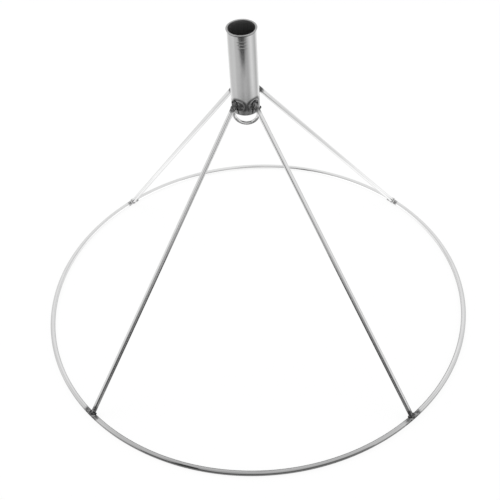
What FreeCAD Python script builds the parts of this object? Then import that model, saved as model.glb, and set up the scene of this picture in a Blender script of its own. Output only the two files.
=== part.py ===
import FreeCAD, Part
import math
import os

# Welded hoop frame with a pole socket. Lengths are in millimetres, angles in degrees.
# +Z is up and the frame stands on its hoop: the origin is the hoop's centre at floor level.
# The front is towards -Y, and left and right are as seen from the front.

# Hoop: one round rod bent to a full ring, measured to the middle of the rod.
# The play is the gap left between the rod and what is coped to it.
hoop_radius = 245.0
hoop_rod_diameter = 5.5
seat_play = 0.05

# Stays: four straight rods from the hoop up to the side of the socket.
# A joint's rise is how far the stay's middle line meets the socket above its lower end.
stay_diameter = 5.0
stay_turn = 45.0
front_joint_rise = 10.1
back_joint_rise = 19.1
nose_trim = 1.3

# Socket: the upright tube that takes the end of a pole, with a small lip swaged out at its mouth.
# The flare depth is how far down the bore the mouth opens out.
socket_bore = 25.4
socket_wall = 1.6
socket_length = 92.0
socket_height = 285.5
lip_height = 1.8
lip_overhang = 0.8
flare_depth = 2.4
edge_easing = 0.4

# Eye: a round wire bent to a U and butted under the socket's wall on both sides.
eye_wire_diameter = 3.8
eye_straight = 7.4
eye_wire_sides = 10

# Welds: the leg is how far a bead reaches along each of the two pieces it joins.
socket_weld_leg = 1.8
hoop_weld_leg = 2.2
# The edge is a bead's thickness where it runs out, and the skin is how far it goes past its root.
bead_sides = 10
weld_edge = 0.12
weld_skin = 0.35
eye_weld_radius = 2.9

# Sizes that follow from the ones above.
hoop_rod_radius = hoop_rod_diameter / 2
stay_radius = stay_diameter / 2
bore_radius = socket_bore / 2
socket_radius = bore_radius + socket_wall
eye_wire_radius = eye_wire_diameter / 2
eye_radius = socket_radius - eye_wire_radius
up = FreeCAD.Vector(0, 0, 1)

# Azimuth of each stay and the rise of its joint on the socket.
stays = {
    "front_left": (180 + stay_turn, front_joint_rise),
    "front_right": (360 - stay_turn, front_joint_rise),
    "back_right": (stay_turn, back_joint_rise),
    "back_left": (180 - stay_turn, back_joint_rise),
}


def outwards(azimuth):
    """Level direction away from the socket's axis."""
    turn = math.radians(azimuth)
    return FreeCAD.Vector(math.cos(turn), math.sin(turn), 0)


def stay_ends(azimuth, rise):
    """Where a stay's middle line meets the socket's wall and the middle of the hoop's rod."""
    out = outwards(azimuth)
    head = out * socket_radius + up * (socket_height + rise)
    foot = out * hoop_radius + up * hoop_rod_radius
    return head, foot


def oval(centre, first_axis, first_radius, second_axis, second_radius, sides):
    """Corners spaced round an ellipse about a point, in order and not repeated."""
    corners = []
    for step in range(sides):
        turn = 2 * math.pi * (step + 0.5) / sides
        along_first = first_axis * (first_radius * math.cos(turn))
        along_second = second_axis * (second_radius * math.sin(turn))
        corners.append(centre + along_first + along_second)
    return corners


def flat_face(corners):
    """Flat face through corners that lie in one plane."""
    return Part.Face(Part.makePolygon(corners + corners[:1]))


def make_bead(rings):
    """Solid of flat facets between rings of corners, closed at its two ends."""
    faces = [flat_face(rings[0]), flat_face(rings[-1])]
    for near, far in zip(rings, rings[1:]):
        for corner in range(len(near)):
            faces.append(flat_face([near[corner - 1], near[corner], far[corner]]))
            faces.append(flat_face([near[corner - 1], far[corner], far[corner - 1]]))
    bead = Part.Solid(Part.Shell(faces))
    if bead.Volume < 0:
        bead.reverse()
    return bead


def make_hoop():
    """Ring of round rod lying on the floor: one spline circle turned about the upright axis."""
    middle = FreeCAD.Vector(hoop_radius, 0, hoop_rod_radius)
    circle = Part.Circle(middle, FreeCAD.Vector(0, 1, 0), hoop_rod_radius).toBSpline()
    return Part.Face(Part.Wire([circle.toShape()])).revolve(FreeCAD.Vector(0, 0, 0), up, 360)


def make_hoop_core():
    """The same ring as a plain torus with a little play, for coping the stays that meet it."""
    return Part.makeTorus(hoop_radius, hoop_rod_radius + seat_play, up * hoop_rod_radius)


def make_socket_core():
    """Solid bar of the socket's outer diameter, longer than the socket, for coping what meets it."""
    margin = socket_length
    return Part.makeCylinder(socket_radius, socket_length + 2 * margin, up * (socket_height - margin))


def make_socket():
    """Tube turned from its half section: straight bore that flares at its mouth, and swaged lip."""
    top = socket_height + socket_length
    lip_radius = socket_radius + lip_overhang
    corners = [
        (bore_radius, socket_height),
        (socket_radius, socket_height),
        (socket_radius, top - lip_height),
        (lip_radius, top - lip_height + lip_overhang / 2),
        (lip_radius, top - edge_easing),
        (lip_radius - edge_easing, top),
        (bore_radius + lip_overhang, top),
        (bore_radius, top - flare_depth),
        (bore_radius, socket_height),
    ]
    section = Part.makePolygon([FreeCAD.Vector(radius, 0, height) for radius, height in corners])
    return Part.Face(section).revolve(FreeCAD.Vector(0, 0, 0), up, 360)


def make_stay(azimuth, rise, core, hoop):
    """Straight rod, coped at its head to the socket and at its foot to the hoop."""
    head, foot = stay_ends(azimuth, rise)
    along = (foot - head).normalize()
    start = head - along * (2 * stay_diameter)
    length = (foot - start).Length - nose_trim
    rod = Part.makeCylinder(stay_radius, length, start, along)
    return rod.cut(core).cut(hoop).Solids[0]


def make_socket_weld(azimuth, rise, core, stay):
    """Bead round a stay's head: ovals in upright planes, from inside the wall out to the stay."""
    head, foot = stay_ends(azimuth, rise)
    along = (foot - head).normalize()
    out = outwards(azimuth)
    side = up.cross(out)
    steepness = 1 / along.dot(out)
    toe = stay_radius + socket_weld_leg
    root = socket_radius - math.sqrt(socket_radius ** 2 - toe ** 2) + weld_skin
    rings = []
    for distance, growth in (
        (-root, socket_weld_leg + root / 2),
        (socket_weld_leg / 2, socket_weld_leg * 0.65),
        (socket_weld_leg * 1.4, weld_edge),
    ):
        centre = head + along * (distance * steepness)
        height = stay_radius * steepness + growth
        rings.append(oval(centre, up, height, side, stay_radius + growth, bead_sides))
    return make_bead(rings).cut(core).cut(stay).Solids[0]


def make_hoop_weld(azimuth, rise, stay):
    """Bead round a stay's foot: ovals across the stay, long along the hoop and slim beside it."""
    head, foot = stay_ends(azimuth, rise)
    back_up = (head - foot).normalize()
    tangent = up.cross(outwards(azimuth))
    seat_length = 4 * (stay_radius + hoop_weld_leg)
    seat_start = foot - tangent * (seat_length / 2)
    seat = Part.makeCylinder(hoop_rod_radius + 2 * seat_play, seat_length, seat_start, tangent)
    across = back_up.cross(tangent)
    toe = stay_radius + hoop_weld_leg
    rings = []
    for distance, along_hoop, beside_hoop in (
        (hoop_rod_radius * 0.35, toe, stay_radius * 0.9),
        (hoop_rod_radius, toe, stay_radius + weld_skin),
        (hoop_rod_radius + hoop_weld_leg * 0.5, stay_radius + hoop_weld_leg * 0.4, stay_radius + weld_skin),
        (hoop_rod_radius + hoop_weld_leg, stay_radius + weld_edge, stay_radius + weld_edge),
    ):
        centre = foot + back_up * distance
        rings.append(oval(centre, tangent, along_hoop, across, beside_hoop, bead_sides))
    return make_bead(rings).cut(seat).cut(stay).Solids[0]


def make_eye():
    """U of round wire in the XZ plane, its two ends square against the socket's lower end."""
    def at(x, z):
        return FreeCAD.Vector(x, 0, socket_height + z)

    spine = Part.Wire([
        Part.LineSegment(at(-eye_radius, 0), at(-eye_radius, -eye_straight)).toShape(),
        Part.Arc(
            at(-eye_radius, -eye_straight),
            at(0, -eye_straight - eye_radius),
            at(eye_radius, -eye_straight),
        ).toShape(),
        Part.LineSegment(at(eye_radius, -eye_straight), at(eye_radius, 0)).toShape(),
    ])
    across = FreeCAD.Vector(1, 0, 0)
    deep = FreeCAD.Vector(0, 1, 0)
    rim = oval(at(-eye_radius, 0), across, eye_wire_radius, deep, eye_wire_radius, eye_wire_sides)
    return spine.makePipeShell([Part.makePolygon(rim + rim[:1])], True, False).Solids[0]


def make_eye_weld(side, socket, eye):
    """Small blob over one end of the eye, level with the socket's lower end inside the bore."""
    seat = FreeCAD.Vector(side * eye_radius, 0, socket_height)
    across = FreeCAD.Vector(side, 0, 0)
    deep = FreeCAD.Vector(0, 1, 0)
    rings = []
    for height, radius in (
        (eye_weld_radius * 0.75, eye_weld_radius * 0.7),
        (eye_weld_radius * 0.2, eye_weld_radius),
        (-eye_weld_radius * 0.4, eye_weld_radius * 0.95),
        (-eye_weld_radius * 0.85, eye_wire_radius + weld_edge),
    ):
        rings.append(oval(seat + up * height, across, radius, deep, radius, bead_sides))
    bore = Part.makeCylinder(bore_radius, socket_length, up * socket_height)
    return make_bead(rings).cut(bore).cut(socket).cut(eye).Solids[0]


def build():
    """Every piece by its name."""
    hoop_core = make_hoop_core()
    core = make_socket_core()
    socket = make_socket()
    eye = make_eye()
    pieces = {"hoop": make_hoop(), "socket_tube": socket, "eye": eye}
    for place, (azimuth, rise) in stays.items():
        stay = make_stay(azimuth, rise, core, hoop_core)
        pieces["stay_" + place] = stay
        pieces["socket_weld_" + place] = make_socket_weld(azimuth, rise, core, stay)
        pieces["hoop_weld_" + place] = make_hoop_weld(azimuth, rise, stay)
    for name, side in (("left", -1), ("right", 1)):
        pieces["eye_weld_" + name] = make_eye_weld(side, socket, eye)
    return pieces


os.makedirs("parts", exist_ok=True)
for name, shape in build().items():
    shape.exportStep("parts/" + name + ".step")
    print(name, "valid" if shape.isValid() else "NOT VALID", len(shape.Solids), "solid, volume", round(shape.Volume, 1))
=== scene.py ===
"""Hoop frame with a pole socket: bright welded steel, shown in a white studio."""

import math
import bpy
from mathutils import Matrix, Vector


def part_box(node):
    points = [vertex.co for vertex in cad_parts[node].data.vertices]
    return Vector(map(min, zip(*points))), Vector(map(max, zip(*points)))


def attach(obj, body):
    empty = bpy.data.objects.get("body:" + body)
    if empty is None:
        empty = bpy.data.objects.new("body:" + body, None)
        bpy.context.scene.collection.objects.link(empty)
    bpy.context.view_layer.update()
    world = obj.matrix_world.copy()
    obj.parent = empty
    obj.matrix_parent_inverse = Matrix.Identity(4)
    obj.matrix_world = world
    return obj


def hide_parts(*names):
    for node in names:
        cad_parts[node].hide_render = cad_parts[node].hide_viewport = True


bl_info = {
    "name": "Hoop Frame with Pole Socket",
    "version": (1, 0, 0),
    "blender": (4, 5, 0),
    "location": "3D View > Sidebar > Hoop Frame",
    "description": "Builds the welded hoop frame piece by piece, in steel and in a white studio",
    "category": "Object",
}

import bmesh
import bpy
from bpy.props import FloatProperty, FloatVectorProperty, IntProperty, PointerProperty
from mathutils import Vector

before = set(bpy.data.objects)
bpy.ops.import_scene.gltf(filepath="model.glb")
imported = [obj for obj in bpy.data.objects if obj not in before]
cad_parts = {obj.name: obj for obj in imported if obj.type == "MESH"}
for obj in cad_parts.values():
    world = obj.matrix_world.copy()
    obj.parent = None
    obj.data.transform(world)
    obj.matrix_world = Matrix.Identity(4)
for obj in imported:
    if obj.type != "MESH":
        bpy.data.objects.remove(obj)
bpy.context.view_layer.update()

hoop_low, hoop_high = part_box("hoop")
socket_low, socket_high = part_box("socket_tube")

# Azimuth of each stay, seen from above and counted from +X, and which joint rise it has.
stay_azimuths = {
    "front_left": (225, "front_joint_rise"),
    "front_right": (315, "front_joint_rise"),
    "back_right": (45, "back_joint_rise"),
    "back_left": (135, "back_joint_rise"),
}
eye_ends = {"left": -1, "right": 1}

# How finely the round pieces and the lines of the welds are divided.
hoop_steps, eye_leg_steps, eye_bend_steps = 600, 10, 48
rod_sides, socket_sides, wire_sides = 32, 160, 24
stay_seam_steps, eye_seam_steps = 48, 32
ripple_sides, ripple_rings, floor_sides = 16, 10, 72

# Rings of points along a stay, as shares of its length: close together near its two ends.
stay_end_shares = [0.004 * step for step in range(13)]
stay_middle_shares = [0.08 + 0.84 * step / 12 for step in range(13)]

# The socket's section, in metres: its eased edges, its tool rings and its flared mouth. The rings
# are given by how far they lie below the top, and are that deep and about that wide.
edge_easing, edge_rounding, edge_margin = 0.0003, 0.00008, 0.001
tool_rings, ring_depth, ring_width = (0.0072, 0.0106, 0.0143), 0.000022, 0.0003
ring_zone, coarse_step, fine_step = 0.0176, 0.0008, 0.0002
lip_drop, bore_drop, bore_step = 0.0015, 0.0028, 0.003
mouth_share, mouth_drop, mouth_steps = 0.55, 0.0003, 8
# The lip from its lower edge to its top: share of its overhang, and how far below the top.
lip_section = (
    (0.0, 0.00135), (0.06, 0.0012), (0.3, 0.001), (0.68, 0.0008), (0.92, 0.0006), (1.0, 0.0004),
    (0.97, 0.00022), (0.84, 0.00008), (0.6, 0.0),
)

# The middle line of a bead lies off the stay, and off what the stay stands on, by these shares of
# the bead's radius. The core of a bead is thinner than its ripples.
socket_bead_shift, hoop_bead_shift, eye_bead_shift = (0.4, 0.2), (0.2, 0.1), 0.4
eye_bead_share = 0.24
bead_core_share, bead_voxels, bead_softening = 0.82, 13, 2
thinnest_ripple, thickest_ripple = (0.95, 0.95, 0.42), (1.14, 1.14, 0.55)

# How far each heat mark on the socket lies round from its joint, in degrees, and how many times
# smaller the marks of the back joints are.
heat_turns = {"front_left": 19, "front_right": -2, "back_right": 0, "back_left": 0}
back_mark_shrink = 1.5
# How far the heat tint reaches along the rods and along the thin wire, in metres.
rod_tint_reach, wire_tint_reach = 0.0135, 0.0045

# What polished steel mirrors. Turns are degrees from the front, with the right hand side positive.
floor_beyond_hoop = (
    (-180, 1.3), (-140, 1.2), (-118, 0.98), (-100, 0.96), (-75, 1.04), (-60, 1.0), (-55, 0.86),
    (-36, 0.86), (-12, 0.76), (8, 0.92), (28, 0.74), (42, 0.76), (48, 0.92), (70, 1.24), (92, 1.0),
    (104, 0.8), (118, 0.82), (135, 1.2), (180, 1.3),
)
floor_near_hoop = (
    (-180, 1.0), (-150, 1.32), (-120, 1.3), (-100, 0.88), (-85, 0.75), (-64, 0.72), (-47, 0.5),
    (-33, 0.12), (-17, 0.02), (8, 0.02), (30, 0.05), (47, 0.3), (68, 0.36), (82, 0.66), (97, 0.76),
    (112, 0.9), (124, 1.26), (150, 1.44), (180, 1.0),
)
# Share of the floor beyond the hoop, by the distance from the hoop's centre in metres.
share_beyond = (
    (0.0, 0.0), (0.236, 0.0), (0.243, 0.45), (0.26, 0.45), (0.27, 0.02), (0.32, 0.02), (0.34, 0.3),
    (0.405, 0.3), (0.445, 1.0),
)
room_round = (
    (-180, 1.15), (-130, 0.98), (-115, 0.86), (-103, 1.05), (-75, 1.12), (-55, 0.84), (-30, 0.74),
    (0, 1.0), (40, 1.0), (65, 1.08), (90, 1.12), (115, 0.88), (145, 1.02), (180, 1.15),
)
room_upwards = ((0.0, 0.6), (0.1, 0.82), (0.3, 0.78), (0.45, 0.84), (0.65, 0.78), (1.0, 0.84))
# The card's greys by height in metres, from its left end, and the widths over which the next
# column of greys takes over.
card_left = (
    (0.0, 0.05), (0.06, 0.07), (0.1, 0.11), (0.13, 0.18), (0.17, 0.28), (0.21, 0.4), (0.3, 0.58),
    (0.4, 0.68), (0.6, 0.72),
)
card_columns = (
    ((-0.2, -0.12), (
        (0.0, 0.035), (0.03, 0.05), (0.05, 0.06), (0.07, 0.09), (0.1, 0.24), (0.13, 0.36),
        (0.17, 0.45), (0.21, 0.5), (0.26, 0.6), (0.31, 0.64), (0.4, 0.7), (0.6, 0.72),
    )),
    ((0.13, 0.21), (
        (0.0, 0.4), (0.05, 0.22), (0.09, 0.13), (0.13, 0.17), (0.17, 0.19), (0.2, 0.24),
        (0.25, 0.38), (0.3, 0.44), (0.36, 0.56), (0.42, 0.78), (0.6, 0.9),
    )),
    ((0.3, 0.4), (
        (0.0, 0.6), (0.03, 0.42), (0.07, 0.28), (0.12, 0.24), (0.17, 0.38), (0.3, 0.48),
        (0.36, 0.62), (0.42, 0.8), (0.6, 0.9),
    )),
)

# How far the card reaches to the left and to the right. The black flag's outline, across and up,
# and its place as a share of the card's distance.
card_ends = (-0.6, 0.45)
flag_outline = (
    (-0.37, 0.13), (-0.23, 0.12), (-0.25, 0.3), (-0.31, 0.55), (-0.4, 0.8), (-0.48, 1.0),
    (-0.68, 1.0), (-0.54, 0.7), (-0.38, 0.48),
)
flag_share = 0.99
# Place, width and power of each lamp, and the point that they look at.
lamps = {
    "key softbox": ((-1.3, 0.5, 1.9), 1.6, 14),
    "fill softbox": ((1.5, -0.1, 1.5), 1.4, 8),
}
lamp_target = Vector((0, 0, 0.15))


# Settings


class HoopFrameSizes(bpy.types.PropertyGroup):
    hoop_radius: FloatProperty(
        name="Hoop radius", description="From the hoop's centre to the middle of its rod",
        default=0.245, unit="LENGTH",
    )
    hoop_rod: FloatProperty(
        name="Hoop rod", description="Diameter of the rod that the hoop is bent from",
        default=hoop_high.z - hoop_low.z, unit="LENGTH",
    )
    stay_rod: FloatProperty(
        name="Stay rod", description="Diameter of the four straight stays", default=0.005,
        unit="LENGTH",
    )
    front_joint_rise: FloatProperty(
        name="Front joint rise",
        description="Height of the front stays' joints above the socket's lower end",
        default=0.0101, unit="LENGTH",
    )
    back_joint_rise: FloatProperty(
        name="Back joint rise",
        description="Height of the back stays' joints above the socket's lower end",
        default=0.0191, unit="LENGTH",
    )
    socket_radius: FloatProperty(
        name="Socket radius", description="Outer radius of the socket's straight wall",
        default=0.0143, unit="LENGTH",
    )
    socket_bore: FloatProperty(
        name="Socket bore", description="Inner radius of the socket", default=0.0127,
        unit="LENGTH",
    )
    lip_radius: FloatProperty(
        name="Lip radius", description="Outer radius of the swaged lip at the socket's mouth",
        default=socket_high.x, unit="LENGTH",
    )
    eye_wire: FloatProperty(
        name="Eye wire", description="Diameter of the wire of the eye below the socket",
        default=0.0038, unit="LENGTH",
    )
    eye_straight: FloatProperty(
        name="Eye straight", description="Length of the eye's two straight legs above its bend",
        default=0.0074, unit="LENGTH",
    )
    socket_bead: FloatProperty(
        name="Socket bead", description="Radius of the weld beads round the stays' heads",
        default=0.00115, unit="LENGTH",
    )
    hoop_bead: FloatProperty(
        name="Hoop bead", description="Radius of the weld beads round the stays' feet",
        default=0.00125, unit="LENGTH",
    )
    ripple_pitch: FloatProperty(
        name="Ripple pitch", description="Distance from one ripple of a weld bead to the next",
        default=0.0008, unit="LENGTH",
    )
    seed: IntProperty(
        name="Seed", description="Seed of the unevenness of the weld beads", default=7,
    )


class HoopFrameFinish(bpy.types.PropertyGroup):
    rod_colour: FloatVectorProperty(
        name="Rod steel", description="Bright drawn rod of the hoop and the stays",
        subtype="COLOR", size=4, default=(0.88, 0.88, 0.88, 1.0),
    )
    tube_colour: FloatVectorProperty(
        name="Tube steel", description="Ground outside of the socket", subtype="COLOR", size=4,
        default=(0.54, 0.54, 0.54, 1.0),
    )
    bore_colour: FloatVectorProperty(
        name="Bore steel", description="Dull inside of the socket", subtype="COLOR", size=4,
        default=(0.34, 0.34, 0.34, 1.0),
    )
    wire_colour: FloatVectorProperty(
        name="Wire steel", description="Bright wire of the eye", subtype="COLOR", size=4,
        default=(0.86, 0.86, 0.86, 1.0),
    )
    weld_colour: FloatVectorProperty(
        name="Weld metal", description="Bare metal that shows between the scale on a weld bead",
        subtype="COLOR", size=4, default=(0.36, 0.36, 0.36, 1.0),
    )
    tint_colour: FloatVectorProperty(
        name="Heat tint", description="Dark oxide that the welding heat leaves on the steel",
        subtype="COLOR", size=4, default=(0.07, 0.07, 0.07, 1.0),
    )


class HoopFrameStudio(bpy.types.PropertyGroup):
    camera_place: FloatVectorProperty(
        name="Camera place", description="Where the camera stands", subtype="TRANSLATION",
        unit="LENGTH", default=(0.063758, -0.796436, 0.874317),
    )
    camera_turn: FloatVectorProperty(
        name="Camera turn", description="How the camera is turned", subtype="EULER",
        default=(math.radians(45.252185), math.radians(2.497089), math.radians(2.452725)),
    )
    focal_length: FloatProperty(
        name="Focal length",
        description="Focal length of the camera, in millimetres on a 36 mm sensor",
        default=70.486,
    )
    floor_radius: FloatProperty(
        name="Floor radius", description="Radius of the white floor", default=3.0,
        unit="LENGTH",
    )
    card_distance: FloatProperty(
        name="Card distance",
        description="How far in front of the hoop's centre the graded card stands",
        default=0.52, unit="LENGTH",
    )
    card_height: FloatProperty(
        name="Card height", description="Height of the graded card", default=0.6, unit="LENGTH",
    )
    card_turn: FloatProperty(
        name="Card turn",
        description="How far the card is turned from the front towards the camera",
        subtype="ANGLE", default=math.radians(4.6),
    )
    room_light: FloatProperty(
        name="Room light", description="Strength of the even light of the room", default=0.9,
    )


# Shapes


def outwards(azimuth):
    """Level direction away from the socket's axis."""
    turn = math.radians(azimuth)
    return Vector((math.cos(turn), math.sin(turn), 0))


def circle(radius, height, sides, start=0.0):
    """Points evenly spaced round the upright axis, from a turn in radians on."""
    turns = [start + 2 * math.pi * side / sides for side in range(sides)]
    return [(radius * math.cos(turn), radius * math.sin(turn), height) for turn in turns]


def stay_line(sizes, place):
    """Where a stay's middle line meets the socket's wall and the middle of the hoop's rod."""
    azimuth, rise = stay_azimuths[place]
    out = outwards(azimuth)
    head = out * sizes.socket_radius + Vector((0, 0, socket_low.z + getattr(sizes, rise)))
    foot = out * sizes.hoop_radius + Vector((0, 0, sizes.hoop_rod / 2))
    return head, foot


def stay_axes(sizes, place):
    """Unit vectors of a stay: along it from head to foot, level across it, and square to both."""
    head, foot = stay_line(sizes, place)
    along = (foot - head).normalized()
    level = Vector((0, 0, 1)).cross(outwards(stay_azimuths[place][0]))
    return along, level, along.cross(level)


def wall_point(sizes, point, along):
    """Where a line meets the socket's round wall, on the side that it comes from."""
    a = along.x ** 2 + along.y ** 2
    b = 2 * (point.x * along.x + point.y * along.y)
    c = point.x ** 2 + point.y ** 2 - sizes.socket_radius ** 2
    return point + along * ((-b + math.sqrt(b * b - 4 * a * c)) / (2 * a))


def hoop_gap(sizes, point):
    """Distance of a point from the surface of the hoop's rod."""
    away = math.hypot(point.x, point.y) - sizes.hoop_radius
    return math.hypot(away, point.z - sizes.hoop_rod / 2) - sizes.hoop_rod / 2


def rod_point(sizes, point, along):
    """Where a line along a stay first meets the hoop's rod, found by halving."""
    search_reach, halvings = 4, 40
    near, far = -search_reach * sizes.hoop_rod, 0.0
    for _ in range(halvings):
        middle = (near + far) / 2
        if hoop_gap(sizes, point + along * middle) > 0:
            near = middle
        else:
            far = middle
    return point + along * near


def stay_seams(sizes, place, steps):
    """Points round a stay where it meets the socket and the hoop, and the ways off the stay."""
    head, foot = stay_line(sizes, place)
    along, level, lean = stay_axes(sizes, place)
    seams = []
    for step in range(steps):
        turn = 2 * math.pi * step / steps
        off = level * math.cos(turn) + lean * math.sin(turn)
        rim = off * (sizes.stay_rod / 2)
        top, bottom = wall_point(sizes, head + rim, along), rod_point(sizes, foot + rim, along)
        seams.append((top, bottom, off))
    return seams


def grid_mesh(name, rings, closed_ends):
    """Mesh of quads through rings of as many points each, its ends closed with caps or joined."""
    mesh = bpy.data.meshes.new(name)
    count = len(rings[0])
    points = [tuple(point) for ring in rings for point in ring]
    faces = []
    pairs = list(zip(range(len(rings) - 1), range(1, len(rings))))
    if not closed_ends:
        pairs.append((len(rings) - 1, 0))
    for near, far in pairs:
        for step in range(count):
            near_step, far_step = near * count + step, far * count + step
            onwards = (step + 1) % count - step
            faces.append((near_step, near_step + onwards, far_step + onwards, far_step))
    if closed_ends:
        faces.append(tuple(range(count - 1, -1, -1)))
        faces.append(tuple((len(rings) - 1) * count + step for step in range(count)))
    mesh.from_pydata(points, [], faces)
    mesh.validate()
    work = bmesh.new()
    work.from_mesh(mesh)
    bmesh.ops.recalc_face_normals(work, faces=work.faces)
    work.to_mesh(mesh)
    work.free()
    mesh.shade_smooth()
    return mesh


def store(mesh, name, kind, values):
    """Keeps one value per point of a mesh under a name that its material reads."""
    attribute = mesh.attributes.new(name, kind, "POINT")
    attribute.data.foreach_set("value" if kind == "FLOAT" else "vector", values)


def add_object(name, data):
    """Puts a mesh, a curve, a lamp or a camera into the scene at the origin."""
    thing = bpy.data.objects.new(name, data)
    bpy.context.scene.collection.objects.link(thing)
    return thing


def add_piece(name, mesh, material, node):
    """Puts a finished mesh into the scene, where it stands for its solid and takes its finish."""
    mesh.name = name
    mesh.materials.clear()
    mesh.materials.append(material)
    piece = add_object(name, mesh)
    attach(piece, "root")
    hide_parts(node)


def flat_sheet(name, corners, material):
    """Flat sheet of one face, for the studio."""
    mesh = bpy.data.meshes.new(name)
    mesh.from_pydata(corners, [], [tuple(range(len(corners)))])
    mesh.materials.append(material)
    return add_object(name, mesh)


def weld_distance(sizes, point):
    """Distance from a point to the middle of the nearest joint on the hoop."""
    return min((point - stay_line(sizes, place)[1]).length for place in stay_azimuths)


def heat_distance(sizes, point):
    """Distance from a point of the socket to the middle of the nearest heat mark round a joint."""
    distances = [1.0]
    for place, (azimuth, rise) in stay_azimuths.items():
        middle = outwards(azimuth + heat_turns[place]) * sizes.socket_radius
        middle.z = socket_low.z + getattr(sizes, rise)
        shrink = back_mark_shrink if place.startswith("back") else 1.0
        distances.append((point - middle).length * shrink)
    return min(distances)


# Node trees


def add_node(tree, kind, inputs=None, **settings):
    """Adds one node with its settings. Each input is given a value, or linked to an output."""
    node = tree.nodes.new(kind)
    for name, value in settings.items():
        setattr(node, name, value)
    for name, value in (inputs or {}).items():
        if isinstance(value, bpy.types.NodeSocket):
            tree.links.new(value, node.inputs[name])
        else:
            node.inputs[name].default_value = value
    return node


def computed(tree, operation, first, second):
    """Result of one operation on two values or numbers."""
    return add_node(tree, "ShaderNodeMath", {0: first, 1: second}, operation=operation).outputs[0]


def ranged(tree, source, span, result):
    """A value carried smoothly from one range to another."""
    names = ("Value", "From Min", "From Max", "To Min", "To Max")
    inputs = dict(zip(names, (source, *span, *result)))
    node = add_node(tree, "ShaderNodeMapRange", inputs, interpolation_type="SMOOTHSTEP")
    return node.outputs["Result"]


def place_in(tree, space):
    """Where the shaded point lies on its object, or which way it is seen."""
    return add_node(tree, "ShaderNodeTexCoord").outputs[space]


def axes_of(tree, vector):
    """The X, Y and Z of a vector."""
    return add_node(tree, "ShaderNodeSeparateXYZ", {"Vector": vector}).outputs


def grey(level):
    """Colour of one level of grey."""
    return (level, level, level, 1)


def grey_ramp(tree, source, stops):
    """Grey that follows a value from 0 to 1 through stops of place and grey."""
    node = add_node(tree, "ShaderNodeValToRGB", {"Fac": source})
    elements = node.color_ramp.elements
    while len(elements) < len(stops):
        elements.new(0.5)
    for element, (place, level) in zip(elements, stops):
        element.position = place
        element.color = grey(level)
    return node.outputs["Color"]


def keep_named(tree, geometry, data_type, name, value):
    """Geometry that keeps a value for each of its points under a name."""
    inputs = {"Geometry": geometry, "Name": name, "Value": value}
    node = add_node(tree, "GeometryNodeStoreNamedAttribute", inputs, data_type=data_type)
    return node.outputs["Geometry"]


def read_named(tree, data_type, name):
    """Value that is kept under a name."""
    kind = "GeometryNodeInputNamedAttribute"
    return add_node(tree, kind, {"Name": name}, data_type=data_type).outputs["Attribute"]


def geometry_tree(name, inputs, output):
    """Geometry tree with named inputs, and what comes in through them."""
    tree = bpy.data.node_groups.new(name, "GeometryNodeTree")
    for title, kind in inputs.items():
        tree.interface.new_socket(title, in_out="INPUT", socket_type="NodeSocket" + kind)
    tree.interface.new_socket(output, in_out="OUTPUT", socket_type="NodeSocketGeometry")
    return tree, add_node(tree, "NodeGroupInput").outputs


def end_tree(tree, geometry, material):
    """Ends a geometry tree: its instances are made real and its material is set."""
    real = add_node(tree, "GeometryNodeRealizeInstances", {"Geometry": geometry}).outputs[0]
    inputs = {"Geometry": real, "Material": material}
    painted = add_node(tree, "GeometryNodeSetMaterial", inputs).outputs[0]
    add_node(tree, "NodeGroupOutput", {0: painted})
    return tree


def baked(carrier):
    """Plain mesh that comes out of an object's modifiers, which go with the object."""
    graph = bpy.context.evaluated_depsgraph_get()
    mesh = bpy.data.meshes.new_from_object(carrier.evaluated_get(graph), depsgraph=graph)
    carrier.modifiers.clear()
    bpy.data.objects.remove(carrier)
    return mesh


def shaped(tree, path, values):
    """Plain mesh that a geometry tree makes of a path."""
    carrier = add_object("path", path)
    modifier = carrier.modifiers.new("shape", "NODES")
    modifier.node_group = tree
    for item in tree.interface.items_tree:
        if item.item_type == "SOCKET" and item.in_out == "INPUT" and item.name in values:
            modifier[item.identifier] = values[item.name]
    return baked(carrier)


def path_curve(name, points, closed):
    """Curve of straight steps through points."""
    curve = bpy.data.curves.new(name, "CURVE")
    curve.dimensions = "3D"
    spline = curve.splines.new("POLY")
    spline.points.add(len(points) - 1)
    for slot, point in zip(spline.points, points):
        slot.co = (point[0], point[1], point[2], 1)
    spline.use_cyclic_u = closed
    return curve


def wire_tree():
    """Round wire along a path, which keeps each point's place on the straightened wire."""
    tree, given = geometry_tree(
        "Wire along a path",
        {"Path": "Geometry", "Wire Radius": "Float", "Sides": "Int", "Material": "Material"},
        "Wire",
    )
    length = add_node(tree, "GeometryNodeSplineParameter").outputs["Length"]
    line = keep_named(tree, given["Path"], "FLOAT", "along", length)
    ring = add_node(tree, "GeometryNodeCurvePrimitiveCircle", {
        "Resolution": given["Sides"], "Radius": given["Wire Radius"],
    }).outputs["Curve"]
    place = add_node(tree, "GeometryNodeInputPosition").outputs["Position"]
    section = keep_named(tree, ring, "FLOAT_VECTOR", "across", place)
    sweep = add_node(tree, "GeometryNodeCurveToMesh", {
        "Curve": line, "Profile Curve": section, "Fill Caps": True,
    }).outputs["Mesh"]
    across = axes_of(tree, read_named(tree, "FLOAT_VECTOR", "across"))
    straight = add_node(tree, "ShaderNodeCombineXYZ", {
        "X": read_named(tree, "FLOAT", "along"), "Y": across["X"], "Z": across["Y"],
    }).outputs["Vector"]
    placed = keep_named(tree, sweep, "FLOAT_VECTOR", "rod_place", straight)
    smooth = add_node(tree, "GeometryNodeSetShadeSmooth", {"Geometry": placed}).outputs[0]
    return end_tree(tree, smooth, given["Material"])


def wire_mesh(name, points, closed, radius, sides, material):
    """Round wire through points."""
    tree = bpy.data.node_groups.get("Wire along a path") or wire_tree()
    values = {"Wire Radius": radius, "Sides": sides, "Material": material}
    return shaped(tree, path_curve(name, points, closed), values)


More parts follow.
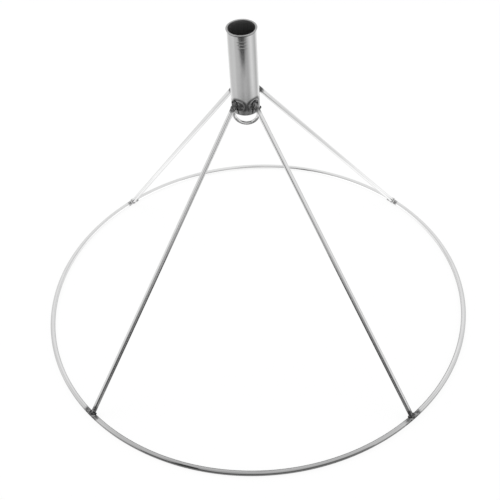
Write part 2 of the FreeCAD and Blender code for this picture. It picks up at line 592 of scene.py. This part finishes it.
def bead_tree():
    """Weld bead along a seam: a round core with a row of overlapping ripples of uneven size."""
    inputs = {
        "Seam": "Geometry", "Bead Radius": "Float", "Ripple Pitch": "Float",
        "Thinnest Ripple": "Vector", "Thickest Ripple": "Vector", "Seed": "Int",
        "Material": "Material",
    }
    tree, given = geometry_tree("Weld bead along a seam", inputs, "Bead")
    points = add_node(tree, "GeometryNodeCurveToPoints", {
        "Curve": given["Seam"], "Length": given["Ripple Pitch"],
    }, mode="LENGTH").outputs
    ripple = add_node(tree, "GeometryNodeMeshUVSphere", {
        "Segments": ripple_sides, "Rings": ripple_rings,
    }).outputs["Mesh"]
    size = add_node(tree, "FunctionNodeRandomValue", {
        "Min": given["Thinnest Ripple"], "Max": given["Thickest Ripple"], "Seed": given["Seed"],
    }, data_type="FLOAT_VECTOR").outputs["Value"]
    scale = add_node(tree, "ShaderNodeVectorMath", {
        "Vector": size, "Scale": given["Bead Radius"],
    }, operation="SCALE").outputs["Vector"]
    ripples = add_node(tree, "GeometryNodeInstanceOnPoints", {
        "Points": points["Points"], "Instance": ripple, "Rotation": points["Rotation"],
        "Scale": scale,
    }).outputs["Instances"]
    thin = computed(tree, "MULTIPLY", given["Bead Radius"], bead_core_share)
    ring = add_node(tree, "GeometryNodeCurvePrimitiveCircle", {
        "Resolution": ripple_sides, "Radius": thin,
    }).outputs["Curve"]
    core = add_node(tree, "GeometryNodeCurveToMesh", {
        "Curve": given["Seam"], "Profile Curve": ring,
    }).outputs["Mesh"]
    join = add_node(tree, "GeometryNodeJoinGeometry", {"Geometry": core})
    tree.links.new(ripples, join.inputs["Geometry"])
    return end_tree(tree, join.outputs["Geometry"], given["Material"])


def melt(mesh, voxel):
    """Joins a mesh's overlapping shells into one skin and softens it."""
    carrier = add_object("melt", mesh)
    skin = carrier.modifiers.new("skin", "REMESH")
    skin.mode = "VOXEL"
    skin.voxel_size = voxel
    skin.use_smooth_shade = True
    soft = carrier.modifiers.new("soft", "SMOOTH")
    soft.factor = 0.5
    soft.iterations = bead_softening
    return baked(carrier)


def weld_bead(kind, place, seam, radius, seed):
    """One weld bead along a closed seam, which stands for the solid of its kind and place."""
    sizes = bpy.context.scene.hoop_frame_sizes
    material = finish_named("weld scale")
    values = {
        "Bead Radius": radius,
        "Ripple Pitch": sizes.ripple_pitch,
        "Thinnest Ripple": thinnest_ripple,
        "Thickest Ripple": thickest_ripple,
        "Seed": sizes.seed + seed,
        "Material": material,
    }
    tree = bpy.data.node_groups.get("Weld bead along a seam") or bead_tree()
    rough = shaped(tree, path_curve("seam", seam, True), values)
    mesh = melt(rough, radius / bead_voxels)
    add_piece(kind + "_bead_" + place, mesh, material, kind + "_weld_" + place)


# Finishes


# Which sockets of a mix node carry its two colours and its result.
colour_a, colour_b, colour_result = 6, 7, 2


class Finish:
    """Helper that lays out one material's nodes."""

    def __init__(self, name):
        self.material = bpy.data.materials.new(name)
        self.material.use_nodes = True
        self.tree = self.material.node_tree
        self.shader = self.tree.nodes["Principled BSDF"]
        self.shader.inputs["Metallic"].default_value = 1.0

    def feed(self, name, source):
        """Links a value to one of the shader's inputs."""
        self.tree.links.new(source, self.shader.inputs[name])

    def object_place(self):
        """A point's place on the piece."""
        return place_in(self.tree, "Object")

    def object_axes(self):
        """The X, Y and Z of a point's place on the piece."""
        return axes_of(self.tree, self.object_place())

    def attribute(self, name, output):
        """A value that the piece's mesh keeps under a name."""
        return add_node(self.tree, "ShaderNodeAttribute", attribute_name=name).outputs[output]

    def scaled(self, source, scale):
        """Coordinates stretched by a scale for each axis."""
        inputs = {"Vector": source, "Scale": scale}
        return add_node(self.tree, "ShaderNodeMapping", inputs).outputs["Vector"]

    def noise(self, source, scale=1.0, detail=2.0, roughness=0.5):
        """Soft noise from 0 to 1."""
        inputs = {"Vector": source, "Scale": scale, "Detail": detail, "Roughness": roughness}
        return add_node(self.tree, "ShaderNodeTexNoise", inputs).outputs["Fac"]

    def ranged(self, source, span, result):
        """A value carried smoothly from one range to another."""
        return ranged(self.tree, source, span, result)

    def times(self, first, second):
        return computed(self.tree, "MULTIPLY", first, second)

    def plus(self, first, second):
        return computed(self.tree, "ADD", first, second)

    def minus(self, first, second):
        return computed(self.tree, "SUBTRACT", first, second)

    def mix(self, factor, first, second):
        """Colour between two others."""
        inputs = {"Factor": factor, colour_a: first, colour_b: second}
        node = add_node(self.tree, "ShaderNodeMix", inputs, data_type="RGBA")
        return node.outputs[colour_result]

    def laid(self, base, source, span, share, level):
        """A grey laid over a colour, by a share that follows a value."""
        return self.mix(self.ranged(source, span, share), base, grey(level))

    def bump(self, height, strength, distance):
        """Fine relief of the surface."""
        inputs = {"Height": height, "Strength": strength, "Distance": distance}
        self.feed("Normal", add_node(self.tree, "ShaderNodeBump", inputs).outputs["Normal"])


# Where a noise's dark and pale parts lie: its whole range, and the upper part of it for patches.
whole_noise, patch_noise = (0.3, 0.7), (0.35, 0.7)


def rod_steel(name, colour, tint, reach):
    """Drawn rod: fine lines along it, painted shade in front and low down, and mottled heat tint
    round the welds.
    """
    finish = Finish(name)
    straight = finish.attribute("rod_place", "Vector")
    gap = finish.attribute("weld_gap", "Fac")
    _, back, up = finish.object_axes()
    lines = finish.noise(finish.scaled(straight, (60, 2600, 2600)), detail=3.0)
    patches = finish.noise(finish.scaled(straight, (22, 300, 300)))
    mottle = finish.noise(finish.object_place(), 420.0)
    drawn = finish.laid(colour, lines, whole_noise, (0.0, 0.14), 0.42)
    worn = finish.laid(drawn, patches, patch_noise, (0.0, 0.1), 0.5)

    # The front and low parts are darkened with painted shade.
    front_reach, front_shade_height = (-0.25, -0.1), (0.004, 0.03)
    front_shade_mask = finish.ranged(back, front_reach, (0.55, 0.0))
    low = finish.ranged(up, front_shade_height, (1.0, 0.35))
    front_shaded = finish.mix(finish.times(front_shade_mask, low), worn, grey(0.2))

    # The tint round a weld wanders, and reaches further at the back heads and at the feet.
    foot_height, back_head_place = (0.03, 0.06), (0.002, 0.012)
    more_behind, more_low_down = 0.0042, 0.003
    low_down = finish.ranged(up, foot_height, (1.0, 0.0))
    beyond = finish.ranged(back, back_head_place, (0.0, more_behind))
    wider = finish.plus(beyond, finish.times(low_down, more_low_down))
    wander = finish.times(finish.minus(mottle, 0.5), reach * 0.3)
    wandering = finish.plus(finish.minus(gap, wider), wander)
    near = finish.ranged(wandering, (reach * 0.4, reach * 0.8), (1.0, 0.0))

    # At the back feet no tint is laid, and two flat marks lie beside each bead.
    back_feet, mark_start, mark_stop = (0.02, 0.1), (0.0018, 0.0026), (0.0072, 0.0094)
    mark_height = (0.005, 0.0062)
    behind = finish.times(finish.ranged(back, back_feet, (0.0, 1.0)), low_down)
    kept = finish.times(near, finish.minus(1.0, behind))
    start = finish.ranged(gap, mark_start, (0.0, 0.95))
    stop = finish.ranged(gap, mark_stop, (1.0, 0.0))
    flat = finish.ranged(up, mark_height, (1.0, 0.0))
    mark = finish.times(finish.times(start, stop), finish.times(flat, behind))
    heat = finish.plus(kept, mark)

    pale = finish.mix(low_down, grey(0.3), grey(0.5))
    spotted = finish.mix(finish.ranged(mottle, (0.42, 0.62), (0.15, 0.75)), tint, pale)
    finish.feed("Base Color", finish.mix(heat, front_shaded, spotted))
    smooth = finish.ranged(lines, whole_noise, (0.03, 0.07))
    finish.feed("Roughness", finish.plus(smooth, finish.times(heat, 0.24)))
    finish.shader.inputs["Specular Tint"].default_value = grey(0.6)
    finish.bump(lines, 0.12, 0.00002)
    return finish.material


def tube_steel(name, colour, tint):
    """Ground tube: fine rings round it, heat tint in rings about each joint, and a darker lip with
    painted shade under it.
    """
    finish = Finish(name)
    solid = finish.object_place()
    gap = finish.attribute("weld_gap", "Fac")
    height = finish.object_axes()["Z"]
    rise = finish.minus(height, socket_low.z)
    under = finish.minus(socket_high.z, height)
    rings = finish.noise(finish.scaled(solid, (60, 60, 3400)), detail=3.0)
    streaks = finish.noise(finish.scaled(solid, (420, 420, 9)))
    mottle = finish.noise(solid, 330.0, 3.0, 0.6)
    wave = finish.noise(solid, 150.0, 1.0)
    ground = finish.laid(colour, rings, whole_noise, (0.0, 0.12), 0.4)
    streaked = finish.laid(ground, streaks, patch_noise, (0.0, 0.1), 0.42)

    # The lower end is darker towards the bottom, and each joint has a ring of tint about it.
    wander_reach, darker_below_height, tint_reach = 0.0016, (0.010, 0.018), 0.013
    tint_rings = (
        (0.0, 0.0), (0.36, 0.02), (0.41, 0.1), (0.45, 0.66), (0.49, 0.64), (0.54, 0.06),
        (0.64, 0.12), (0.79, 1.0),
    )
    wander = finish.times(finish.minus(wave, 0.5), wander_reach)
    shade = finish.plus(rise, finish.times(wander, 4.0))
    darker_below = finish.laid(streaked, shade, darker_below_height, (0.6, 0.0), 0.22)
    reach = computed(finish.tree, "DIVIDE", finish.plus(gap, wander), tint_reach)
    tinted = finish.mix(grey_ramp(finish.tree, reach, tint_rings), tint, darker_below)
    inside = finish.ranged(reach, (0.5, 0.9), (1.0, 0.0))
    spots = finish.times(finish.ranged(mottle, (0.5, 0.64), (0.0, 0.6)), inside)
    spotted = finish.mix(spots, tinted, grey(0.36))

    # The lowest part is lighter in patches.
    lighter_patch_height = (0.0028, 0.0068)
    bottom = finish.ranged(rise, lighter_patch_height, (0.8, 0.0))
    lighter_patches = finish.times(finish.ranged(wave, (0.42, 0.58), (0.45, 1.0)), bottom)
    patched = finish.mix(lighter_patches, spotted, grey(0.42))

    # The lip is darker, and painted shade lies in the corner under it.
    lip_edge, under_lip_shade_end = (0.0009, 0.0013), (0.0016, 0.0023)
    lip = finish.laid(patched, under, lip_edge, (0.4, 0.0), 0.3)
    start = finish.ranged(under, lip_edge, (0.0, 0.8))
    under_lip_shade = finish.times(start, finish.ranged(under, under_lip_shade_end, (1.0, 0.0)))
    finish.feed("Base Color", finish.mix(under_lip_shade, lip, grey(0.08)))
    finish.feed("Roughness", finish.ranged(rings, whole_noise, (0.12, 0.18)))
    finish.shader.inputs["Anisotropic"].default_value = 0.3
    tangent = add_node(finish.tree, "ShaderNodeTangent", direction_type="RADIAL", axis="Z")
    finish.feed("Tangent", tangent.outputs["Tangent"])
    finish.bump(rings, 0.08, 0.00001)
    return finish.material


def bore_steel(name, colour):
    """Dull inside of the tube: raw, with blotches and long marks, and darker at the mouth."""
    finish = Finish(name)
    solid = finish.object_place()
    blotches = finish.noise(solid, 160.0, 3.0)
    marks = finish.noise(finish.scaled(solid, (900, 900, 18)))
    stained = finish.laid(colour, blotches, patch_noise, (0.0, 0.5), 0.14)
    marked = finish.laid(stained, marks, (0.4, 0.7), (0.0, 0.4), 0.16)
    under = finish.minus(socket_high.z, finish.object_axes()["Z"])
    flare_height = (0.0018, 0.003)
    base = finish.laid(marked, under, flare_height, (0.7, 0.0), 0.17)
    finish.feed("Base Color", base)
    finish.feed("Roughness", finish.ranged(blotches, whole_noise, (0.45, 0.6)))
    return finish.material


def weld_metal(name, colour, tint):
    """Weld bead: dark scale in blotches over bare metal, lighter at the back."""
    finish = Finish(name)
    solid = finish.object_place()
    scale = finish.noise(solid, 620.0, 4.0, 0.6)
    grain = finish.noise(solid, 3200.0)
    base = finish.mix(finish.ranged(scale, (0.5, 0.62), (0.0, 0.85)), tint, colour)
    dark = finish.laid(base, grain, patch_noise, (0.0, 0.3), 0.12)
    lighter_back_part = (0.05, 0.12)
    behind = finish.ranged(finish.object_axes()["Y"], lighter_back_part, (0.0, 0.85))
    finish.feed("Base Color", finish.mix(behind, dark, grey(0.8)))
    finish.feed("Roughness", finish.ranged(scale, (0.4, 0.65), (0.52, 0.3)))
    finish.bump(grain, 0.3, 0.00004)
    return finish.material


def black_cloth(name):
    """Dull black cloth with a fine weave."""
    finish = Finish(name)
    finish.shader.inputs["Metallic"].default_value = 0.0
    finish.shader.inputs["Roughness"].default_value = 0.9
    weave = finish.noise(finish.object_place(), 900.0)
    finish.feed("Base Color", finish.ranged(weave, whole_noise, (0.03, 0.05)))
    return finish.material


def finish_named(name):
    """One of the frame's finishes, made the first time that it is asked for."""
    look = bpy.context.scene.hoop_frame_finish
    makers = {
        "drawn rod": (rod_steel, look.rod_colour, look.tint_colour, rod_tint_reach),
        "bright wire": (rod_steel, look.wire_colour, look.tint_colour, wire_tint_reach),
        "ground tube": (tube_steel, look.tube_colour, look.tint_colour),
        "raw bore": (bore_steel, look.bore_colour),
        "weld scale": (weld_metal, look.weld_colour, look.tint_colour),
    }
    maker, *values = makers[name]
    return bpy.data.materials.get(name) or maker(name, *values)


# Studio looks


def empty_material(name):
    """Material with an empty node tree."""
    material = bpy.data.materials.new(name)
    material.use_nodes = True
    material.node_tree.nodes.clear()
    return material


def turned_greys(tree, axes, stops):
    """Greys that follow the turn from the front of a place or direction, from stops in degrees."""
    back = computed(tree, "MULTIPLY", axes["Y"], -1.0)
    way = computed(tree, "ARCTAN2", axes["X"], back)
    inputs = {"Value": way, "From Min": -math.pi, "From Max": math.pi}
    turn = add_node(tree, "ShaderNodeMapRange", inputs).outputs["Result"]
    return grey_ramp(tree, turn, [((degrees + 180) / 360, level) for degrees, level in stops])


def blended(tree, share, first, second):
    """Value between two others."""
    inputs = {"Factor": share, "A": first, "B": second}
    return add_node(tree, "ShaderNodeMix", inputs, data_type="FLOAT").outputs["Result"]


def by_ray(tree, seen, camera_share, lit, mirrored):
    """Shows one shader to the camera, one to the light and one to what mirrors or lets through."""
    ray = add_node(tree, "ShaderNodeLightPath").outputs
    share = computed(tree, "MULTIPLY", ray["Is Camera Ray"], camera_share)
    to_camera = add_node(tree, "ShaderNodeMixShader", {0: share, 1: lit, 2: seen}).outputs[0]
    either = computed(tree, "MAXIMUM", ray["Is Glossy Ray"], ray["Is Transmission Ray"])
    return add_node(tree, "ShaderNodeMixShader", {0: either, 1: to_camera, 2: mirrored}).outputs[0]


def white_floor():
    """White sweep that keeps a trace of shadow, and that steel mirrors in greys round the hoop."""
    camera_share, floor_white = 0.9, 0.9
    material = empty_material("white sweep")
    tree = material.node_tree
    place = place_in(tree, "Object")
    axes = axes_of(tree, place)
    reach = add_node(tree, "ShaderNodeVectorMath", {0: place}, operation="LENGTH")
    share = grey_ramp(tree, reach.outputs["Value"], share_beyond)
    near = turned_greys(tree, axes, floor_near_hoop)
    beyond = turned_greys(tree, axes, floor_beyond_hoop)
    glow = {"Strength": blended(tree, share, near, beyond)}
    lit = add_node(tree, "ShaderNodeBsdfDiffuse", {"Color": grey(floor_white)}).outputs[0]
    seen = add_node(tree, "ShaderNodeEmission").outputs[0]
    mirrored = add_node(tree, "ShaderNodeEmission", glow).outputs[0]
    shown = by_ray(tree, seen, camera_share, lit, mirrored)
    add_node(tree, "ShaderNodeOutputMaterial", {"Surface": shown})
    return material


def white_room(studio):
    """World: white to the camera, even light for the scene, and a graded room for the steel."""
    world = bpy.data.worlds.new("white room")
    world.use_nodes = True
    tree = world.node_tree
    tree.nodes.clear()
    axes = axes_of(tree, place_in(tree, "Generated"))
    upwards = grey_ramp(tree, axes["Z"], room_upwards)
    graded = computed(tree, "MULTIPLY", turned_greys(tree, axes, room_round), upwards)
    seen, even, mirrored = [
        add_node(tree, "ShaderNodeBackground", {"Color": grey(1), "Strength": light}).outputs[0]
        for light in (1.0, studio.room_light, graded)
    ]
    shown = by_ray(tree, seen, 1.0, even, mirrored)
    add_node(tree, "ShaderNodeOutputWorld", {"Surface": shown})
    return world


def graded_card(name):
    """Card in front that only the steel sees: greys by height, in four columns that blend."""
    material = empty_material(name)
    tree = material.node_tree
    axes = axes_of(tree, place_in(tree, "Object"))
    level = grey_ramp(tree, axes["Z"], card_left)
    for span, stops in card_columns:
        side = ranged(tree, axes["X"], span, (0, 1))
        level = blended(tree, side, level, grey_ramp(tree, axes["Z"], stops))
    glow = add_node(tree, "ShaderNodeEmission", {"Strength": level}).outputs[0]
    add_node(tree, "ShaderNodeOutputMaterial", {"Surface": glow})
    return material


# Operators


class HOOPFRAME_OT_hoop(bpy.types.Operator):
    """Bend the hoop's rod to a full ring"""

    bl_idname = "hoop_frame.hoop"
    bl_label = "Add Hoop"

    def execute(self, context):
        sizes = context.scene.hoop_frame_sizes
        start = math.radians(stay_azimuths["back_left"][0])
        points = circle(sizes.hoop_radius, sizes.hoop_rod / 2, hoop_steps, start)
        material = finish_named("drawn rod")
        mesh = wire_mesh("hoop line", points, True, sizes.hoop_rod / 2, rod_sides, material)
        gaps = [weld_distance(sizes, vertex.co) for vertex in mesh.vertices]
        store(mesh, "weld_gap", "FLOAT", gaps)
        add_piece("hoop_rod", mesh, material, "hoop")
        return {"FINISHED"}


class HOOPFRAME_OT_stays(bpy.types.Operator):
    """Cut the four stays and cope their ends to the socket and the hoop"""

    bl_idname = "hoop_frame.stays"
    bl_label = "Add Stays"

    def execute(self, context):
        sizes = context.scene.hoop_frame_sizes
        material = finish_named("drawn rod")
        shares = stay_end_shares + stay_middle_shares
        shares += [1 - share for share in reversed(stay_end_shares)]
        for place in stay_azimuths:
            head, foot = stay_line(sizes, place)
            axes = stay_axes(sizes, place)
            seams = stay_seams(sizes, place, rod_sides)
            rings = [[top.lerp(bottom, share) for top, bottom, _ in seams] for share in shares]
            mesh = grid_mesh("stay", rings, True)
            spots = []
            gaps = []
            for vertex in mesh.vertices:
                off = vertex.co - head
                spots += [off.dot(axis) for axis in axes]
                gaps.append(min(off.length, (vertex.co - foot).length))
            store(mesh, "rod_place", "FLOAT_VECTOR", spots)
            store(mesh, "weld_gap", "FLOAT", gaps)
            add_piece("stay_rod_" + place, mesh, material, "stay_" + place)
        return {"FINISHED"}


class HOOPFRAME_OT_socket(bpy.types.Operator):
    """Turn the socket from its section, with a swaged lip and shallow tool rings near its mouth"""

    bl_idname = "hoop_frame.socket"
    bl_label = "Add Socket"

    def execute(self, context):
        sizes = context.scene.hoop_frame_sizes
        wall, bore = sizes.socket_radius, sizes.socket_bore
        low, top = socket_low.z, socket_high.z
        overhang = sizes.lip_radius - wall
        mouth = overhang * mouth_share
        flare_start, raw_start = bore + mouth * 0.93, bore + mouth * 0.96
        section = [
            (wall - edge_easing, low),
            (wall - edge_rounding, low + edge_rounding),
            (wall, low + edge_easing),
        ]
        height = low + edge_margin
        while height < top - ring_zone:
            section.append((wall, height))
            height += coarse_step
        while height < top - lip_drop:
            depth = 0.0
            for drop in tool_rings:
                away = (top - height - drop) / ring_width
                depth = max(depth, ring_depth * math.exp(-away ** 2))
            section.append((wall - depth, height))
            height += fine_step
        section += [(wall + overhang * share, top - drop) for share, drop in lip_section]
        section += [(bore + mouth, top - mouth_drop / 3), (flare_start, top - mouth_drop)]
        for step in range(2, mouth_steps + 1):
            section.append((bore + mouth * (1 - step / mouth_steps), top - mouth_drop * step))
        height = top - bore_drop
        while height > low + edge_margin:
            section.append((bore, height))
            height -= bore_step
        section += [
            (bore, low + edge_easing),
            (bore + edge_rounding, low + edge_rounding),
            (bore + edge_easing, low),
        ]
        rings = [circle(radius, level, socket_sides) for radius, level in section]
        mesh = grid_mesh("socket", rings, False)
        gaps = [heat_distance(sizes, vertex.co) for vertex in mesh.vertices]
        store(mesh, "weld_gap", "FLOAT", gaps)
        add_piece("socket_body", mesh, finish_named("ground tube"), "socket_tube")
        mesh.materials.append(finish_named("raw bore"))
        for face in mesh.polygons:
            radius = math.hypot(face.center.x, face.center.y)
            if radius < raw_start and face.center.z < top - fine_step:
                face.material_index = 1
        return {"FINISHED"}


class HOOPFRAME_OT_eye(bpy.types.Operator):
    """Bend the wire eye and butt its ends under the socket"""

    bl_idname = "hoop_frame.eye"
    bl_label = "Add Eye"

    def execute(self, context):
        sizes = context.scene.hoop_frame_sizes
        reach = sizes.socket_radius - sizes.eye_wire / 2
        bend = socket_low.z - sizes.eye_straight
        legs = [sizes.eye_straight * step / eye_leg_steps for step in range(eye_leg_steps + 1)]
        points = [(-reach, 0, socket_low.z - drop) for drop in legs[:-1]]
        for step in range(eye_bend_steps + 1):
            turn = math.pi * (1 + step / eye_bend_steps)
            points.append((reach * math.cos(turn), 0, bend + reach * math.sin(turn)))
        points += [(reach, 0, bend + rise) for rise in legs[1:]]
        material = finish_named("bright wire")
        mesh = wire_mesh("eye line", points, False, sizes.eye_wire / 2, wire_sides, material)
        ends = (points[0], points[-1])
        gaps = [min(math.dist(vertex.co, end) for end in ends) for vertex in mesh.vertices]
        store(mesh, "weld_gap", "FLOAT", gaps)
        add_piece("eye_loop", mesh, material, "eye")
        return {"FINISHED"}


class HOOPFRAME_OT_socket_welds(bpy.types.Operator):
    """Lay a rippled bead round each stay's head"""

    bl_idname = "hoop_frame.socket_welds"
    bl_label = "Add Socket Welds"

    def execute(self, context):
        sizes = context.scene.hoop_frame_sizes
        radius = sizes.socket_bead
        aside, outside = [radius * share for share in socket_bead_shift]
        for number, place in enumerate(stay_azimuths):
            seam = []
            for spot, _, off in stay_seams(sizes, place, stay_seam_steps):
                out = Vector((spot.x, spot.y, 0)).normalized()
                beside = (off - out * off.dot(out)).normalized()
                seam.append(spot + beside * aside + out * outside)
            weld_bead("socket", place, seam, radius, number)
        return {"FINISHED"}


class HOOPFRAME_OT_hoop_welds(bpy.types.Operator):
    """Lay a rippled bead round each stay's foot"""

    bl_idname = "hoop_frame.hoop_welds"
    bl_label = "Add Hoop Welds"

    def execute(self, context):
        sizes = context.scene.hoop_frame_sizes
        radius = sizes.hoop_bead
        aside, outside = [radius * share for share in hoop_bead_shift]
        for number, place in enumerate(stay_azimuths):
            _, foot = stay_line(sizes, place)
            seam = []
            for _, spot, off in stay_seams(sizes, place, stay_seam_steps):
                seam.append(spot + off * aside + (spot - foot).normalized() * outside)
            weld_bead("hoop", place, seam, radius, 10 + number)
        return {"FINISHED"}


class HOOPFRAME_OT_eye_welds(bpy.types.Operator):
    """Lay a small bead round each end of the eye"""

    bl_idname = "hoop_frame.eye_welds"
    bl_label = "Add Eye Welds"

    def execute(self, context):
        sizes = context.scene.hoop_frame_sizes
        radius = sizes.eye_wire * eye_bead_share
        reach = sizes.socket_radius - sizes.eye_wire / 2
        away = sizes.eye_wire / 2 + radius * eye_bead_shift
        height = socket_low.z - radius * eye_bead_shift
        for number, (name, side) in enumerate(eye_ends.items()):
            seam = [(side * reach + x, y, z) for x, y, z in circle(away, height, eye_seam_steps)]
            weld_bead("eye", name, seam, radius, 20 + number)
        return {"FINISHED"}


class HOOPFRAME_OT_studio(bpy.types.Operator):
    """Set up the white floor, the soft light and the camera"""

    bl_idname = "hoop_frame.studio"
    bl_label = "Set Up Studio"

    def execute(self, context):
        scene = context.scene
        studio = scene.hoop_frame_studio
        floor = flat_sheet("floor", circle(studio.floor_radius, 0, floor_sides), white_floor())
        aside = Vector((math.cos(studio.card_turn), math.sin(studio.card_turn), 0))
        front = Vector((aside.y, -aside.x, 0)) * studio.card_distance
        left, right = card_ends
        high = studio.card_height
        card_outline = ((left, 0), (right, 0), (right, high), (left, high))
        for name, outline, share, look in (
            ("graded card", card_outline, 1.0, graded_card),
            ("black flag", flag_outline, flag_share, black_cloth),
        ):
            corners = [front * share + aside * x + Vector((0, 0, z)) for x, z in outline]
            sheet = flat_sheet(name, corners, look(name))
            sheet.visible_camera = False
            sheet.visible_shadow = False
            sheet.visible_diffuse = False
        scene.world = white_room(studio)
        for name, (place, width, power) in lamps.items():
            light = bpy.data.lights.new(name, "AREA")
            light.shape = "SQUARE"
            light.size = width
            light.energy = power
            lamp = add_object(name, light)
            lamp.visible_glossy = False
            lamp.location = place
            lamp.rotation_euler = (lamp_target - Vector(place)).to_track_quat("-Z", "Y").to_euler()
        lens = bpy.data.cameras.new("camera")
        lens.sensor_width = 36
        lens.lens = studio.focal_length
        lens.shift_x = 0.0004
        lens.clip_start = 0.01
        camera = add_object("camera", lens)
        camera.location = studio.camera_place
        camera.rotation_euler = studio.camera_turn
        scene.camera = camera
        scene.view_settings.view_transform = "Standard"
        return {"FINISHED"}


class HOOPFRAME_PT_panel(bpy.types.Panel):
    """Sidebar panel with one button for each group of pieces"""

    bl_idname = "HOOPFRAME_PT_panel"
    bl_label = "Hoop Frame"
    bl_space_type = "VIEW_3D"
    bl_region_type = "UI"
    bl_category = "Hoop Frame"

    def draw(self, context):
        for operator in operators:
            self.layout.operator(operator.bl_idname)
        for place in groups:
            settings = getattr(context.scene, place)
            box = self.layout.box()
            for name in settings.__annotations__:
                box.prop(settings, name)


operators = (
    HOOPFRAME_OT_hoop,
    HOOPFRAME_OT_stays,
    HOOPFRAME_OT_socket,
    HOOPFRAME_OT_eye,
    HOOPFRAME_OT_socket_welds,
    HOOPFRAME_OT_hoop_welds,
    HOOPFRAME_OT_eye_welds,
    HOOPFRAME_OT_studio,
)
groups = {
    "hoop_frame_sizes": HoopFrameSizes,
    "hoop_frame_finish": HoopFrameFinish,
    "hoop_frame_studio": HoopFrameStudio,
}
classes = (*groups.values(), *operators, HOOPFRAME_PT_panel)


def register():
    for item in classes:
        bpy.utils.register_class(item)
    for place, group in groups.items():
        setattr(bpy.types.Scene, place, PointerProperty(type=group))


def unregister():
    for place in groups:
        delattr(bpy.types.Scene, place)
    for item in reversed(classes):
        bpy.utils.unregister_class(item)


def main():
    register()
    bpy.ops.hoop_frame.hoop()
    bpy.ops.hoop_frame.stays()
    bpy.ops.hoop_frame.socket()
    bpy.ops.hoop_frame.eye()
    bpy.ops.hoop_frame.socket_welds()
    bpy.ops.hoop_frame.hoop_welds()
    bpy.ops.hoop_frame.eye_welds()
    bpy.ops.hoop_frame.studio()


if __name__ == "__main__":
    main()
